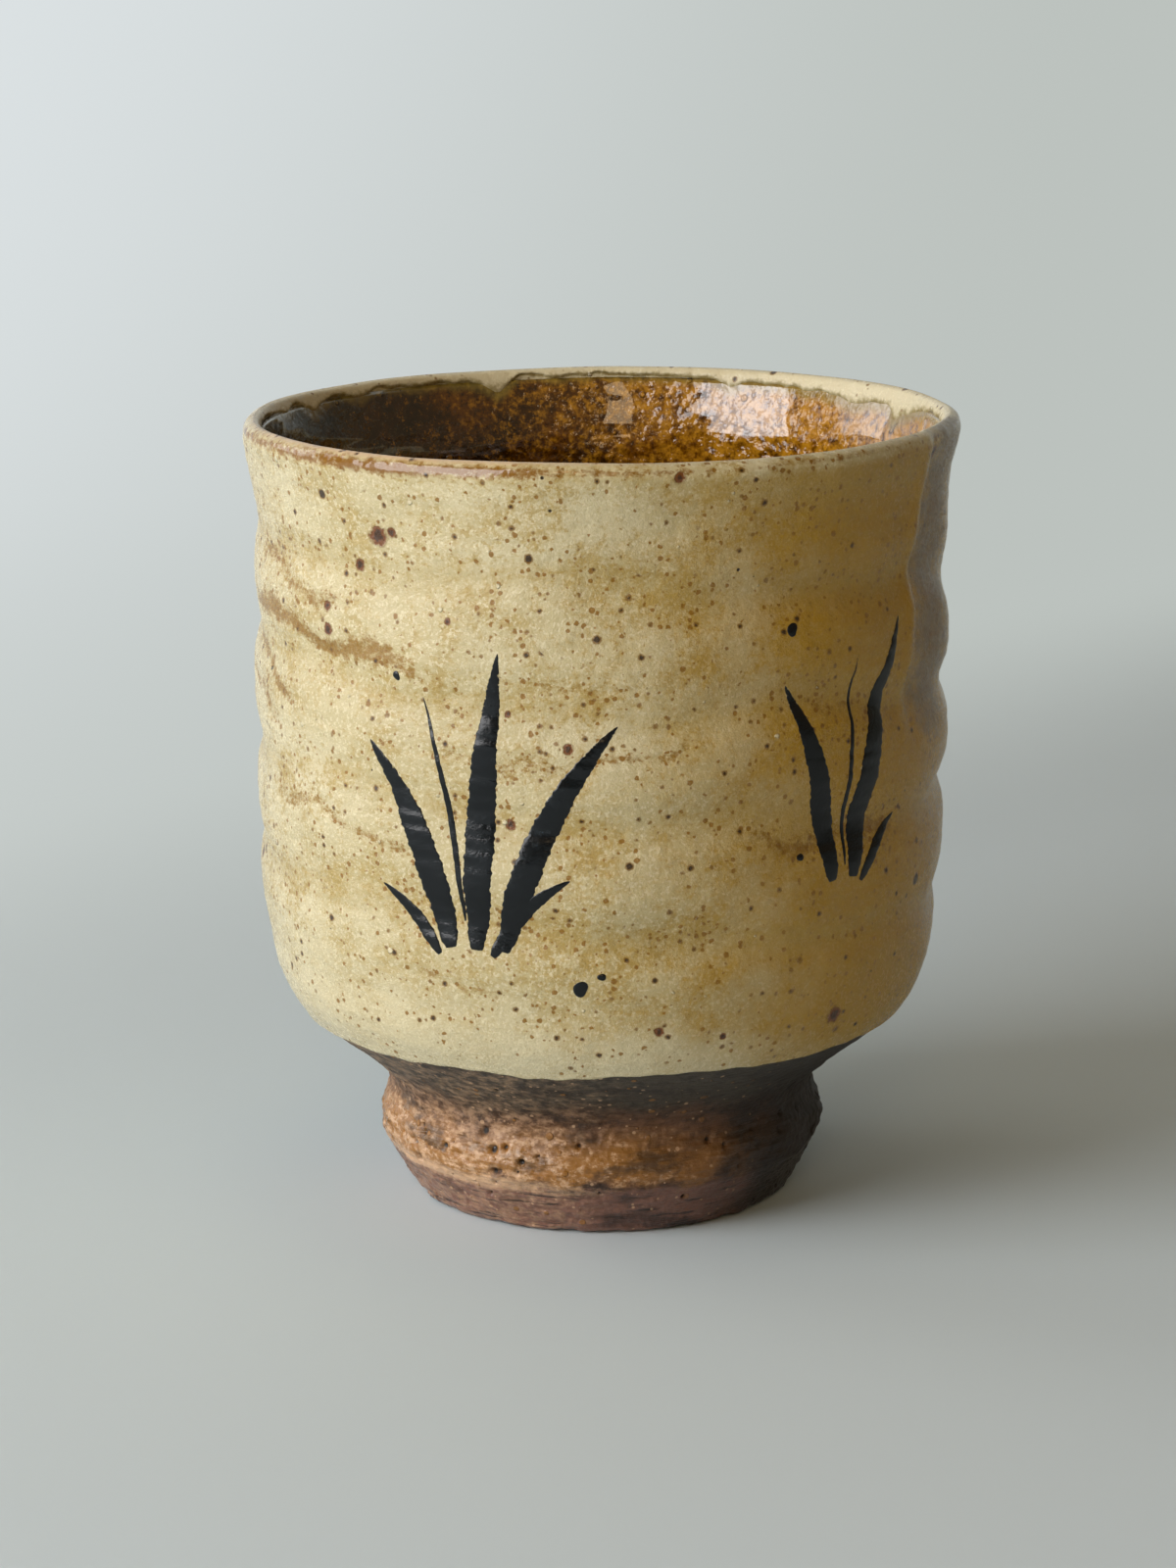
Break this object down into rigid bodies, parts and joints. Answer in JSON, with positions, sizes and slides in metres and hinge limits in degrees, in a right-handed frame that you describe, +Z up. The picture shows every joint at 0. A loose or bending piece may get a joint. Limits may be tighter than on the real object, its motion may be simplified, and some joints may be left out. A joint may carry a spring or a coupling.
{
  "type": "yunomi tea cup",
  "caption": "Hand-thrown stoneware tea cup without a handle: ringed wall, flared lip, narrow bare foot ring, ash glaze outside with brushed reeds, amber glaze inside.",
  "frame": {"origin": "on the table, at the middle of the foot ring", "axes": "+Z up along the throwing axis; -Y faces the front of the cup, with the largest clump of brushed reeds; +X to the right of the front"},
  "size_m": [0.0808, 0.0808, 0.0902],
  "materials": {
    "stoneware": "bare fired clay, satin where ash has flashed it",
    "ash_glaze": "satin, cream with ochre streaks and iron specks",
    "amber_glaze": "gloss, amber to near black",
    "iron_pigment": "satin blue-black"
  },
  "bodies": {
    "root": {"clay_body": "stoneware", "liner_glaze": "amber_glaze", "outer_glaze": "ash_glaze", "brush_reeds_front": "iron_pigment", "brush_reeds_side": "iron_pigment", "brush_reeds_back": "iron_pigment"}
  },
  "joints": []
}
